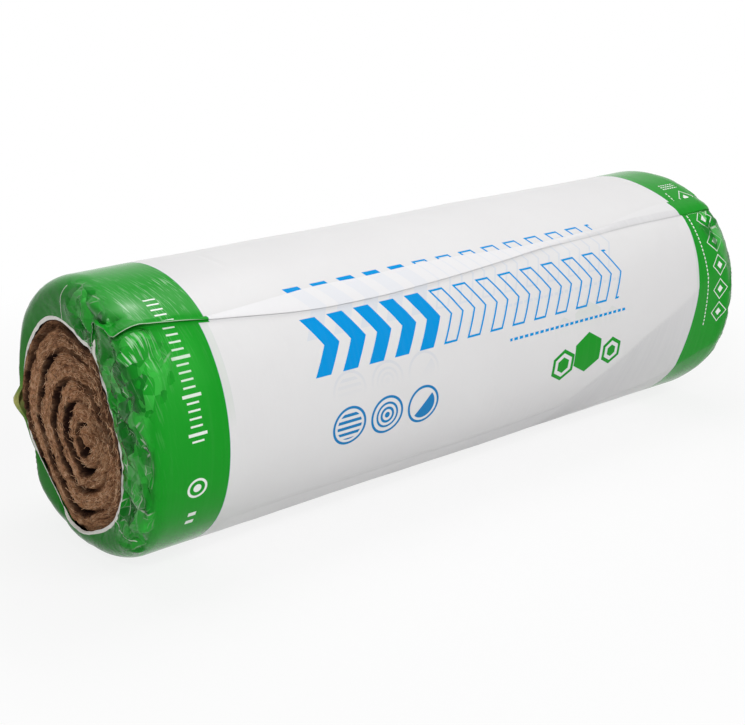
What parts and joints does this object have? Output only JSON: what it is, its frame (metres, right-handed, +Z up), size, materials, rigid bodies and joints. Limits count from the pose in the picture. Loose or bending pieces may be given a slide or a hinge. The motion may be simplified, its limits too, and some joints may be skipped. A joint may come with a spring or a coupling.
{
  "type": "insulation roll",
  "caption": "Compressed roll of brown glass wool in a white and green polyethylene wrapper with gathered, open ends, lying on its side.",
  "frame": {"origin": "on the floor under the middle of the roll as it lies on its side", "axes": "+X along the roll's axis, -Y towards the side where the wrapper laps, +Z up"},
  "size_m": [1.2, 0.3998, 0.3999],
  "materials": {
    "wool": "matte fibrous",
    "film": "gloss"
  },
  "bodies": {
    "root": {"wool_mat": "wool", "film_wrap": "film"}
  },
  "joints": []
}
